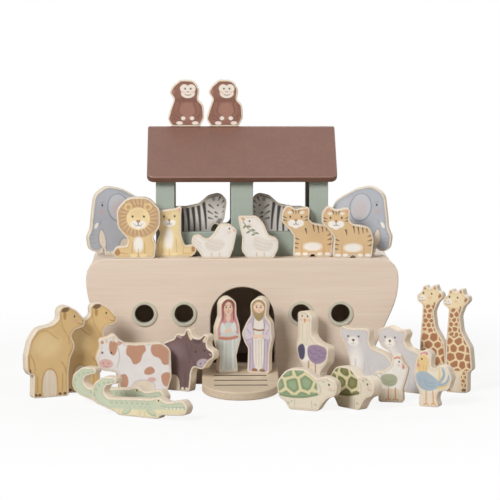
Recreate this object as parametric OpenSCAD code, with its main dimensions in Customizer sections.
// Noah's ark play set: a wooden ark with a lift-out deck and cabin, a lift-off roof, a
// pull-off gangplank and 29 flat wooden figures. Millimetres, +Z up, the origin under the
// middle of the hull, the doorway side towards -Y.

/* [Hull] */
// Overall length of the hull
hull_length = 331; // [300:1:360]
// How far each end of the hull flares out from the floor
end_flare = 42; // [30:1:55]
// Height of the hull, up to the deck
hull_height = 134.5; // [120:0.5:150]
// Depth of the hull, outside to outside
hull_depth = 165; // [150:1:190]
// Thickness of the two side panels
side_thickness = 12; // [9:0.5:15]
// Height at which the sloping ends turn upright
flare_height = 94; // [80:1:105]
// Radius of that turn
flare_radius = 80; // [40:1:100]
// Radius of the upper corners of the side panels
gunwale_radius = 20; // [12:1:24]
// Radius of the lower corners of the side panels
keel_radius = 4; // [1:0.5:8]
// Thickness of the two end boards
end_thickness = 9; // [6:0.5:12]
// How far the end boards lie inside the edge of the side panels
end_inset = 4; // [2:0.5:6]
// Thickness of the floor board
floor_thickness = 10; // [6:0.5:14]

/* [Portholes] */
// Radius of the clear hole
porthole_radius = 10; // [7:0.5:11]
// Wall of the ring's sleeve
ring_wall = 1.8; // [1.2:0.1:2.5]
// Width of the ring's flange beyond its sleeve
ring_flange = 1.7; // [1:0.1:3]
// How far the flange stands proud of the panel
ring_proud = 1.5; // [1:0.1:2.5]
// Height of the porthole centres
porthole_height = 75.5; // [65:0.5:85]
// Distance of the inner portholes from the middle
porthole_inner = 62; // [58:0.5:66]
// Distance of the outer portholes from the middle
porthole_outer = 104; // [96:0.5:108]

/* [Doorway] */
// Width of the arched doorway
door_width = 68; // [56:1:74]
// Height of the doorway above its threshold
door_height = 82; // [70:1:90]
// Height of the threshold
threshold_height = 21.7; // [20:0.1:26]

/* [Gangplank] */
// Width of the plank
plank_width = 80; // [70:1:84]
// Length of the plank
plank_length = 106; // [90:1:115]
// Thickness of the plank
plank_thickness = 9; // [7:0.5:11]
// Height of the plank's top at the hull
plank_back_height = 20; // [18:0.5:21]
// Gap between the plank and the hull
plank_gap = 1.5; // [1.2:0.1:3]
// Sideways place of the plank from the middle of the doorway
plank_offset = -3; // [-4:0.5:4]
// Length of the three tread grooves
tread_length = 55; // [40:1:62]
// Width of a tread groove
tread_width = 3; // [1.5:0.1:4]
// Depth of a tread groove
tread_depth = 2; // [1:0.1:3]
// Distance of the first tread groove from the hull
first_tread = 40; // [36:0.5:44]
// Distance from one tread groove to the next
tread_pitch = 19; // [14:0.5:21]
// Radius of the two locating pegs
peg_radius = 2.5; // [2:0.1:3]
// Length of a peg in the plank, and again in the hull
peg_reach = 8; // [6:0.5:10]
// Distance between the two pegs
peg_spacing = 56; // [40:1:64]
// Clearance round a peg in its hole
peg_clearance = 0.3; // [0.2:0.05:0.5]

/* [Deck] */
// Thickness of the deck board
deck_thickness = 9; // [6:0.5:12]
// How far the ends of the deck lie inside the ends of the hull
deck_inset = 9.5; // [6:0.5:13]
// Radius of the deck's rounded end edges
deck_end_radius = 8; // [4:0.5:8.5]
// Clearance between the deck and the side panels
deck_clearance = 1; // [0.9:0.1:1.5]
// Height and width of the two ledges that carry the deck
ledge_size = 10; // [6:0.5:14]
// How far the ends of the ledges lie inside the ends of the hull
ledge_inset = 25.5; // [22:0.5:45]

/* [Cabin] */
// Width of the cabin
cabin_width = 184; // [170:1:194]
// Distance of the cabin's front and back from the outside of the hull
walkway = 28.5; // [28:0.5:34]
// Thickness of the cabin walls
wall_thickness = 9; // [7:0.5:11]
// Width of the corner posts beside the windows
corner_post = 20; // [16:0.5:24]
// Width of the post between the two windows
middle_post = 23.5; // [18:0.5:28]
// Height of the window sill above the deck
sill_height = 25.5; // [20:0.5:32]
// Height of the rail over the windows, behind the eaves
window_rail = 3; // [2:0.5:9]
// Radius of the window corners
window_radius = 6; // [3:0.5:9]

/* [Roof] */
// How far the roof reaches past the ends of the cabin
gable_overhang = 9.25; // [6:0.25:12]
// How far the eaves reach past the long walls, measured level
eave_overhang = 10; // [8:0.5:12]
// Pitch of the roof in degrees
roof_pitch = 39.4; // [36:0.1:41]
// Thickness of the two roof slabs
slab_thickness = 8; // [6:0.5:10]
// Width of the flat along the ridge
ridge_flat = 10; // [6:0.5:14]
// Height of the ridge above the deck
ridge_height = 135.5; // [132:0.5:145]
// Radius of the lower corners of the slabs
eave_radius = 7.5; // [4:0.5:12]
// Thickness of the two braces under the roof
brace_thickness = 8; // [6:0.5:9]
// How far the braces reach down inside the walls
brace_drop = 6; // [4:0.5:8]
// Clearance between the roof and the cabin
roof_clearance = 0.5; // [0.3:0.1:1]

/* [Figures] */
// Square of the grid on which the figures' outlines and places are drawn
figure_grid = 1; // [1:0.05:1.2]
// Thickness of every figure
figure_thickness = 12; // [9:0.5:12]
// Distance of the front row, on the edge of the hull, from its outside
front_row = 0.5; // [0.2:0.1:0.8]
// Gap between that row and the row behind it, on the deck
row_gap = 1.5; // [1:0.5:3]
// Gap between the cabin and the elephant at the bow
bow_elephant_gap = 6.5; // [1.5:0.5:8]
// Gap between the cabin and the elephant at the stern
stern_elephant_gap = 1.5; // [1.5:0.5:8]
// Turn of the elephants in degrees
elephant_turn = 12; // [8:1:16]
// Distance of the zebras in the cabin from its front wall
zebra_gap = 19; // [6:1:40]
// Gap between the cabin's bow wall and the zebra by it
bow_zebra_gap = 3; // [1:0.5:10]
// Gap between the cabin's stern wall and the zebra by it
stern_zebra_gap = 9; // [2:0.5:12]
// Radius of the notch between a tiger's legs
notch_radius = 3; // [2:0.5:4]

/* [Hidden] */
$fn = 64;
arc_steps = 5;
half_length = hull_length / 2;
half_base = half_length - end_flare;
front = -hull_depth / 2;
inner_depth = hull_depth - 2 * side_thickness;
end_slope = end_flare / flare_height;
slope_stretch = norm([1, end_slope]);
porthole_places = [-porthole_outer, -porthole_inner, porthole_inner, porthole_outer];
sleeve_radius = porthole_radius + ring_wall;
peg_height = plank_back_height - plank_thickness / 2;
plank_slope = asin(plank_back_height / norm([plank_length, plank_thickness]))
            - atan(plank_thickness / plank_length);
deck_underside = hull_height - deck_thickness;
deck_length = hull_length - 2 * deck_inset;
ledge_length = hull_length - 2 * ledge_inset;
cabin_depth = hull_depth - 2 * walkway;
roof_length = cabin_width + 2 * gable_overhang;
roof_run = cabin_depth / 2 + eave_overhang;
window_width = (cabin_width - 2 * corner_post - middle_post) / 2;
roof_slope = tan(roof_pitch);
slab_drop = slab_thickness / cos(roof_pitch);
ridge_top = hull_height + ridge_height;
under_apex = ridge_top + ridge_flat / 2 * roof_slope - slab_drop;
wall_top = under_apex - cabin_depth / 2 * roof_slope;
window_height = wall_top - hull_height - sill_height - window_rail;
slab_length = (roof_run + ridge_flat) / cos(roof_pitch);
front_row_y = front + front_row + figure_thickness / 2;
back_row_y = front_row_y + figure_thickness + row_gap;
elephant_y = figure_thickness - cabin_depth / 2;
zebra_y = wall_thickness + zebra_gap + figure_thickness / 2 - cabin_depth / 2;

// A point of an outline is [across, up, corner radius]; these make the rounded outline.
function flat(p) = [p[0], p[1]];
function unit(v) = v / norm(v);
function direction(v) = atan2(v[1], v[0]);
function short_turn(a) = a - 360 * floor((a + 180) / 360);
function rounded_corner(p, before, after) =
    let (to_before = unit(flat(before) - flat(p)),
         to_after = unit(flat(after) - flat(p)),
         half_angle = acos(max(-1, min(1, to_before * to_after))) / 2,
         room = 0.49 * min(norm(flat(before) - flat(p)), norm(flat(after) - flat(p))),
         tangent = min(p[2] / tan(half_angle), room),
         radius = tangent * tan(half_angle),
         centre = flat(p) + unit(to_before + to_after) * radius / sin(half_angle),
         from = direction(flat(p) + tangent * to_before - centre),
         turn = short_turn(direction(flat(p) + tangent * to_after - centre) - from))
    [for (i = [0 : arc_steps])
        centre + radius * [cos(from + turn * i / arc_steps), sin(from + turn * i / arc_steps)]];
function rounded(points) =
    let (n = len(points))
    [for (i = [0 : n - 1])
        each points[i][2] > 0
            ? rounded_corner(points[i], points[(i + n - 1) % n], points[(i + 1) % n])
            : [flat(points[i])]];

// The bow end of the hull's outline, drawn in by a distance, up to a height.
function end_x(inset, height) =
    min(half_length - inset, half_base + end_slope * height - inset * slope_stretch);
function turn_height(inset) = flare_height + inset * (slope_stretch - 1) / end_slope;

// Stands an outline upright, with its middle plane on Y = 0.
module upright(depth) {
    rotate([90, 0, 0])
        linear_extrude(depth, center = true) children();
}

module hull_outline() {
    polygon(rounded([
        [half_base, 0, keel_radius],
        [half_length, flare_height, flare_radius],
        [half_length, hull_height, gunwale_radius],
        [-half_length, hull_height, gunwale_radius],
        [-half_length, flare_height, flare_radius],
        [-half_base, 0, keel_radius],
    ]));
}

module side_panel() {
    difference() {
        upright(side_thickness) hull_outline();
        for (x = porthole_places)
            translate([x, 0, porthole_height]) rotate([90, 0, 0])
                cylinder(h = 2 * side_thickness, r = sleeve_radius, center = true);
    }
}

module hull_side_front() {
    color("wheat") difference() {
        translate([0, front + side_thickness / 2, 0]) side_panel();
        translate([0, front + side_thickness / 2, threshold_height]) upright(2 * side_thickness) {
            translate([-door_width / 2, 0]) square([door_width, door_height - door_width / 2]);
            translate([0, door_height - door_width / 2]) circle(d = door_width);
        }
        for (x = [-1, 1] * peg_spacing / 2)
            translate([plank_offset + x, front + peg_reach + peg_clearance, peg_height]) rotate([90, 0, 0])
                cylinder(h = 2 * peg_reach, r = peg_radius + peg_clearance);
    }
}

module hull_side_back() {
    color("wheat") translate([0, -front - side_thickness / 2, 0]) side_panel();
}

// An end board follows the slope of the side panels and stops under the deck.
module end_board() {
    outer = end_inset;
    inner = end_inset + end_thickness;
    upright(inner_depth) polygon(rounded([
        [end_x(outer, 0), 0, 0],
        [half_length - outer, turn_height(outer), flare_radius - outer],
        [half_length - outer, deck_underside, 0],
        [half_length - inner, deck_underside, 0],
        [half_length - inner, turn_height(inner), flare_radius - inner],
        [end_x(inner, 0), 0, 0],
    ]));
}

module bow_board() {
    color("wheat") mirror([1, 0, 0]) end_board();
}

module stern_board() {
    color("wheat") end_board();
}

module hull_floor() {
    inner = end_inset + end_thickness;
    color("wheat") upright(inner_depth) polygon([
        [end_x(inner, 0), 0],
        [end_x(inner, floor_thickness), floor_thickness],
        [-end_x(inner, floor_thickness), floor_thickness],
        [-end_x(inner, 0), 0],
    ]);
}

module deck_ledge(side) {
    color("wheat") translate([0, side * (inner_depth - ledge_size) / 2, deck_underside - ledge_size / 2])
        cube([ledge_length, ledge_size, ledge_size], center = true);
}

// A porthole ring: a sleeve through the panel with a flange on the outside.
module porthole_ring(x, side) {
    color("darkseagreen") translate([x, side * hull_depth / 2, porthole_height])
        rotate([side * 90, 0, 0]) difference() {
            union() {
                cylinder(h = side_thickness, r = sleeve_radius);
                translate([0, 0, -ring_proud]) cylinder(h = ring_proud, r = sleeve_radius + ring_flange);
            }
            translate([0, 0, -2 * ring_proud])
                cylinder(h = side_thickness + 4 * ring_proud, r = porthole_radius);
        }
}

// Puts its children on the sloping plank, which runs along -Y from the hull.
module on_plank() {
    translate([plank_offset, front, plank_back_height]) rotate([plank_slope, 0, 0]) children();
}

module gangplank() {
    tip = plank_length - plank_width / 2;
    color("burlywood") difference() {
        on_plank() difference() {
            translate([0, 0, -plank_thickness]) linear_extrude(plank_thickness) {
                translate([-plank_width / 2, -tip]) square([plank_width, tip - plank_gap]);
                translate([0, -tip]) circle(d = plank_width, $fn = 96);
            }
            for (i = [0 : 2])
                translate([0, -first_tread - i * tread_pitch, 0])
                    cube([tread_length, tread_width, 2 * tread_depth], center = true);
        }
        for (i = [0, 1]) peg_space(i);
    }
}

module peg_space(i) {
    translate([plank_offset + (i - 0.5) * peg_spacing, front + peg_reach, peg_height]) rotate([90, 0, 0])
        cylinder(h = 2 * peg_reach, r = peg_radius);
}

module gangplank_peg(i) {
    color("tan") peg_space(i);
}

module deck_board() {
    color("wheat") upright(inner_depth - 2 * deck_clearance) polygon(rounded([
        [deck_length / 2, deck_underside, 0],
        [deck_length / 2, hull_height, deck_end_radius],
        [-deck_length / 2, hull_height, deck_end_radius],
        [-deck_length / 2, deck_underside, 0],
    ]));
}

module window_opening() {
    translate([0, window_radius]) square([window_width, window_height - 2 * window_radius]);
    translate([window_radius, 0]) square([window_width - 2 * window_radius, window_height]);
    for (x = [window_radius, window_width - window_radius])
        for (z = [window_radius, window_height - window_radius])
            translate([x, z]) circle(window_radius);
}

// A long cabin wall with two windows; its top is level, just under the roof.
module window_wall(side) {
    color("darkseagreen") translate([0, side * (cabin_depth - wall_thickness) / 2, 0])
        upright(wall_thickness) difference() {
            translate([-cabin_width / 2, hull_height]) square([cabin_width, wall_top - hull_height]);
            for (x = [corner_post - cabin_width / 2, middle_post / 2])
                translate([x, hull_height + sill_height]) window_opening();
        }
}

// Height of the underside of the roof at a distance from the ridge.
function under_roof(distance) = under_apex - distance * roof_slope;

// A plate across the cabin, cut to the slope of the roof, with a gap under it if asked.
module gable_plate(x, thickness, half_width, bottom, gap = 0) {
    translate([x - thickness / 2, 0, 0]) rotate([90, 0, 90]) linear_extrude(thickness) polygon([
        [-half_width, bottom],
        [half_width, bottom],
        [half_width, under_roof(half_width) - gap],
        [0, under_apex - gap],
        [-half_width, under_roof(half_width) - gap],
    ]);
}

module cabin_end_wall(side) {
    color("darkseagreen") gable_plate(side * (cabin_width - wall_thickness) / 2, wall_thickness,
        cabin_depth / 2 - wall_thickness, hull_height, gap = roof_clearance);
}

module roof_brace(side) {
    x = cabin_width / 2 - wall_thickness - roof_clearance - brace_thickness / 2;
    color("tan") gable_plate(side * x, brace_thickness,
        cabin_depth / 2 - wall_thickness - roof_clearance, wall_top - brace_drop);
}

// The front slab: a sloping board with rounded lower corners, mitred along the ridge.
module roof_slab() {
    intersection() {
        translate([0, 0, ridge_top + ridge_flat / 2 * roof_slope]) rotate([roof_pitch, 0, 0])
            translate([0, 0, -slab_thickness]) linear_extrude(slab_thickness) slab_plan();
        translate([-roof_length, -2 * roof_run, 0]) cube([2 * roof_length, 2 * roof_run, ridge_top]);
    }
}

module slab_plan() {
    eave = roof_run / cos(roof_pitch);
    translate([-roof_length / 2, eave_radius - eave]) square([roof_length, slab_length]);
    translate([eave_radius - roof_length / 2, -eave]) square([roof_length - 2 * eave_radius, eave]);
    for (x = [-1, 1] * (roof_length / 2 - eave_radius))
        translate([x, eave_radius - eave]) circle(eave_radius);
}

module roof_front_slab() {
    color("rosybrown") roof_slab();
}

module roof_back_slab() {
    color("rosybrown") mirror([0, 1, 0]) roof_slab();
}

// A figure is a flat block; its outline stands on the baseline and faces the viewer.
module block(outline) {
    upright(figure_thickness) polygon(rounded(figure_grid * outline));
}

man_outline = [
    [12, 0, 2], [12, 22, 8], [15, 38, 6], [14, 54, 8], [8, 62, 4], [10, 76, 8], [1, 83, 9], [-9, 76, 8],
    [-8, 62, 4], [-13, 54, 6], [-18, 42, 4], [-15, 32, 4], [-11, 26, 4], [-12, 0, 2],
];
woman_outline = [
    [11, 0, 2], [9, 18, 8], [14, 36, 6], [12, 52, 8], [9, 62, 6], [9, 76, 8], [0, 83, 9], [-9, 76, 8],
    [-9, 60, 6], [-13, 48, 8], [-13, 34, 6], [-9, 18, 8], [-11, 0, 2],
];
monkey_outline = [
    [15, 0, 2], [20, 10, 8], [19, 24, 8], [13, 29, 3], [15, 40, 8], [9, 50, 8], [-6, 51, 8], [-14, 44, 6],
    [-18, 37, 4], [-13, 30, 3], [-17, 19, 8], [-20, 8, 6], [-15, 0, 2],
];
elephant_outline = [
    [27, 0, 2], [32, 20, 10], [33, 42, 14], [25, 59, 14], [4, 71, 18], [-14, 75, 14], [-27, 65, 12],
    [-30, 42, 20], [-31, 29, 8], [-35, 20, 8], [-33, 5, 7], [-22, 4, 6], [-17, 10, 3], [-16, 0, 2],
];
lion_outline = [
    [18, 0, 2], [20, 15, 6], [16, 22, 3], [24, 34, 12], [24, 52, 12], [12, 65, 14], [-10, 65, 14],
    [-22, 52, 12], [-21, 33, 12], [-10, 20, 4], [-11, 13, 3], [-22, 13, 5], [-27, 6, 4], [-22, 0, 2],
];
lioness_outline = [
    [20, 0, 2], [26, 6, 5], [24, 14, 5], [13, 12, 3], [9, 24, 6], [9, 40, 6], [10, 56, 3], [4, 52, 3],
    [-10, 50, 3], [-17, 48, 3], [-18, 36, 6], [-13, 26, 4], [-18, 14, 8], [-18, 0, 2],
];
dove_left_outline = [
    [15, 0, 2], [19, 10, 8], [23, 30, 4], [16, 36, 7], [5, 38, 8], [-2, 26, 8], [-9, 19, 8], [-17, 26, 4],
    [-24, 24, 4], [-26, 16, 5], [-17, 6, 8], [-14, 0, 2],
];
dove_right_outline = [
    [16, 0, 2], [21, 10, 8], [21, 21, 6], [11, 24, 6], [6, 36, 8], [-1, 45, 8], [-22, 45, 2], [-20, 34, 5],
    [-17, 22, 8], [-18, 8, 6], [-12, 0, 2],
];
tiger_outline = [
    [20, 0, 2], [22, 20, 8], [18, 33, 8], [0, 36, 6], [-4, 40, 3], [-3, 53, 4], [-9, 53, 3], [-18, 51, 3],
    [-27, 56, 3], [-33, 48, 6], [-33, 37, 6], [-24, 28, 5], [-20, 22, 5], [-21, 0, 2],
];
zebra_outline = [
    [14, 0, 2], [15, 26, 5], [19, 33, 3], [24, 28, 4], [29, 36, 5], [32, 56, 6], [25, 65, 8], [12, 62, 8],
    [2, 53, 6], [-12, 50, 8], [-26, 50, 8], [-32, 40, 8], [-31, 14, 8], [-29, 0, 2],
];
camel_outline = [
    [20, 0, 2], [20, 24, 8], [22, 38, 8], [28, 52, 8], [23, 62, 5], [27, 68, 4], [38, 71, 4], [39, 78, 4],
    [30, 88, 10], [18, 95, 9], [9, 91, 7], [10, 80, 6], [2, 75, 6], [-14, 72, 9], [-22, 60, 12],
    [-26, 44, 12], [-26, 30, 6], [-22, 23, 4], [-18, 25, 3], [-19, 0, 2],
];
cow_outline = [
    [25, 0, 2], [30, 16, 8], [29, 46, 8], [19, 53, 6], [-8, 52, 8], [-18, 53, 5], [-25, 58, 4], [-30, 64, 3],
    [-36, 60, 3], [-46, 58, 3], [-45, 49, 5], [-49, 37, 6], [-45, 26, 6], [-27, 23, 5], [-24, 0, 2],
];
bull_outline = [
    [6, 0, 2], [8, 20, 6], [11, 27, 3], [22, 24, 6], [29, 34, 5], [36, 38, 3], [35, 45, 3], [28, 48, 3],
    [27, 53, 3], [30, 60, 2], [24, 63, 3], [18, 57, 4], [10, 58, 4], [6, 67, 3], [1, 66, 3], [-1, 59, 3],
    [-10, 61, 3], [-13, 55, 4], [-26, 50, 10], [-34, 38, 10], [-33, 0, 2],
];
crocodile_outline = [
    [20, 0, 2], [23, 4, 3], [51, 6, 5], [54, 14, 4], [48, 21, 3], [30, 17, 8], [20, 22, 3], [12, 19, 4],
    [-22, 17, 8], [-38, 16, 4], [-44, 22, 6], [-40, 28, 5], [-28, 31, 2], [-28, 37, 3], [-44, 37, 10],
    [-56, 28, 8], [-57, 15, 8], [-48, 8, 10], [-30, 3, 6], [-26, 0, 2],
];
ostrich_outline = [
    [12, 0, 2], [12, 18, 6], [22, 29, 8], [24, 46, 4], [8, 49, 6], [-1, 55, 8], [0, 75, 6], [-6, 81, 5],
    [-20, 80, 4], [-19, 55, 8], [-22, 43, 8], [-18, 29, 10], [-10, 20, 6], [-10, 0, 2],
];
sitting_bear_outline = [
    [24, 0, 2], [31, 14, 8], [33, 32, 10], [24, 41, 8], [8, 46, 5], [5, 53, 5], [7, 63, 4], [2, 66, 3],
    [-10, 65, 4], [-20, 65, 3], [-27, 68, 3], [-29, 57, 8], [-21, 45, 6], [-17, 30, 8], [-16, 0, 2],
];
walking_bear_outline = [
    [25, 0, 2], [31, 16, 8], [33, 32, 10], [22, 42, 8], [6, 47, 5], [2, 53, 4], [6, 61, 3], [2, 66, 3],
    [-6, 64, 3], [-16, 68, 8], [-29, 65, 6], [-32, 55, 8], [-26, 45, 6], [-14, 40, 5], [-15, 0, 2],
];
turtle_outline = [
    [13, 0, 3], [19, 9, 5], [23, 13, 4], [33, 17, 6], [35, 31, 8], [20, 36, 7], [13, 32, 4], [0, 42, 16],
    [-20, 41, 14], [-31, 27, 12], [-29, 12, 6], [-22, 8, 5], [-17, 0, 3],
];
hen_outline = [
    [13, 0, 2], [12, 13, 4], [15, 23, 6], [18, 35, 4], [13, 41, 4], [10, 49, 4], [1, 48, 4], [0, 38, 5],
    [-8, 31, 6], [-17, 32, 4], [-19, 21, 6], [-13, 13, 5], [-13, 0, 2],
];
rooster_outline = [
    [9, 0, 2], [6, 8, 5], [8, 16, 5], [19, 18, 6], [23, 30, 8], [17, 43, 8], [7, 43, 6], [3, 37, 4],
    [0, 42, 4], [1, 53, 4], [-5, 58, 4], [-13, 55, 4], [-16, 46, 4], [-19, 34, 6], [-16, 21, 8],
    [-12, 14, 5], [-13, 0, 2],
];
giraffe_outline = [
    [12, 0, 2], [12, 21, 4], [17, 25, 3], [15, 47, 8], [5, 64, 14], [3, 80, 10], [7, 90, 5], [13, 96, 3],
    [12, 101, 3], [7, 103, 3], [6, 109, 2], [2, 109, 2], [0, 105, 2], [-4, 105, 2], [-5, 108, 2],
    [-9, 108, 2], [-10, 102, 4], [-16, 98, 4], [-15, 91, 4], [-9, 88, 5], [-12, 50, 20], [-12, 0, 2],
];

// Distance of an elephant's middle from the middle of the cabin.
elephant_rump = figure_grid * max([for (point = elephant_outline) point[0]]);
elephant_reach = cabin_width / 2 + elephant_rump * cos(elephant_turn)
               + figure_thickness / 2 * sin(elephant_turn);
// The same for a zebra whose rump is against an end wall.
zebra_rump = -figure_grid * min([for (point = zebra_outline) point[0]]);
zebra_reach = cabin_width / 2 - wall_thickness - zebra_rump;

module man() { color("thistle") block(man_outline); }
module woman() { color("silver") block(woman_outline); }
module monkey() { color("rosybrown") block(monkey_outline); }
module elephant() { color("lightsteelblue") block(elephant_outline); }
module lion() { color("burlywood") block(lion_outline); }
module lioness() { color("khaki") block(lioness_outline); }
module dove_left() { color("linen") block(dove_left_outline); }
module dove_right() { color("linen") block(dove_right_outline); }
module tiger() {
    color("sandybrown") difference() {
        block(tiger_outline);
        rotate([90, 0, 0]) cylinder(h = 2 * figure_thickness, r = notch_radius, center = true);
    }
}
module zebra() { color("gray") block(zebra_outline); }
module camel() { color("goldenrod") block(camel_outline); }
module cow() { color("snow") block(cow_outline); }
module bull() { color("sienna") block(bull_outline); }
module crocodile() { color("palegreen") block(crocodile_outline); }
module ostrich() { color("plum") block(ostrich_outline); }
module sitting_bear() { color("whitesmoke") block(sitting_bear_outline); }
module walking_bear() { color("whitesmoke") block(walking_bear_outline); }
module turtle() { color("darkkhaki") block(turtle_outline); }
module hen() { color("ivory") block(hen_outline); }
module rooster() { color("lightblue") block(rooster_outline); }
module giraffe() { color("peru") block(giraffe_outline); }

// Places for the figures: squares of the grid across, squares in front of the hull, turn
// about the vertical.
module on_floor(x, distance, turn) {
    translate([x * figure_grid, front - distance * figure_grid, 0]) rotate([0, 0, turn]) children();
}
module on_deck(x, y) {
    translate([x * figure_grid, y, hull_height]) children();
}
module beside_cabin(x, turn) {
    translate([x, elephant_y, hull_height]) rotate([0, 0, turn]) children();
}
module in_cabin(x) {
    translate([x, zebra_y, hull_height]) children();
}
module on_ridge(x) {
    translate([x * figure_grid, 0, ridge_top]) children();
}
module standing_on_plank(x, distance, turn) {
    on_plank() translate([x, -distance, 0] * figure_grid) rotate([0, 0, turn]) children();
}

hull_side_front();
hull_side_back();
bow_board();
stern_board();
hull_floor();
deck_ledge(-1);  // deck_ledge_front
deck_ledge(1);  // deck_ledge_back
for (i = [0 : 3]) {
    porthole_ring(porthole_places[i], -1);
    porthole_ring(porthole_places[i], 1);
}
gangplank();
for (i = [0, 1])
    gangplank_peg(i);
deck_board();
window_wall(-1);  // cabin_front_wall
window_wall(1);  // cabin_back_wall
cabin_end_wall(-1);  // cabin_bow_wall
cabin_end_wall(1);  // cabin_stern_wall
roof_front_slab();
roof_back_slab();
roof_brace(-1);  // roof_brace_bow
roof_brace(1);  // roof_brace_stern
standing_on_plank(x = 20.5, distance = 26, turn = -17) man();
standing_on_plank(x = -14, distance = 24, turn = 15) woman();
on_ridge(x = -60) monkey();  // monkey_left
on_ridge(x = -18) monkey();  // monkey_right
beside_cabin(x = -elephant_reach - bow_elephant_gap, turn = elephant_turn) elephant();  // elephant_left
beside_cabin(x = elephant_reach + stern_elephant_gap, turn = -elephant_turn) mirror([1, 0, 0]) elephant();  // elephant_right
on_deck(x = -111, y = front_row_y) lion();
on_deck(x = -74, y = back_row_y) lioness();
on_deck(x = -28.5, y = front_row_y) dove_left();
on_deck(x = 17, y = front_row_y) dove_right();
on_deck(x = 75, y = back_row_y) tiger();  // tiger_left
on_deck(x = 117, y = front_row_y) tiger();  // tiger_right
in_cabin(x = bow_zebra_gap - zebra_reach) zebra();  // zebra_left
in_cabin(x = zebra_reach - stern_zebra_gap) mirror([1, 0, 0]) zebra();  // zebra_right
on_floor(x = -201, distance = 73, turn = 25) camel();  // camel_front
on_floor(x = -170, distance = 43, turn = 15) camel();  // camel_rear
on_floor(x = -105, distance = 52, turn = 10) cow();
on_floor(x = -58, distance = 41, turn = -32) bull();
on_floor(x = -100, distance = 191, turn = -31) crocodile();  // crocodile_front
on_floor(x = -123, distance = 130, turn = -30) crocodile();  // crocodile_rear
on_floor(x = 76, distance = 24, turn = -45) ostrich();
on_floor(x = 129, distance = 40, turn = -30) sitting_bear();  // polar_bear_left
on_floor(x = 169, distance = 48, turn = -38) walking_bear();  // polar_bear_right
on_floor(x = 62, distance = 156, turn = -25) turtle();  // turtle_left
on_floor(x = 109, distance = 147, turn = -50) turtle();  // turtle_right
on_floor(x = 150, distance = 110, turn = -12) hen();
on_floor(x = 189, distance = 138, turn = -28) rooster();
on_floor(x = 200, distance = 20, turn = -22) giraffe();  // giraffe_left
on_floor(x = 224, distance = 53, turn = -25) giraffe();  // giraffe_right
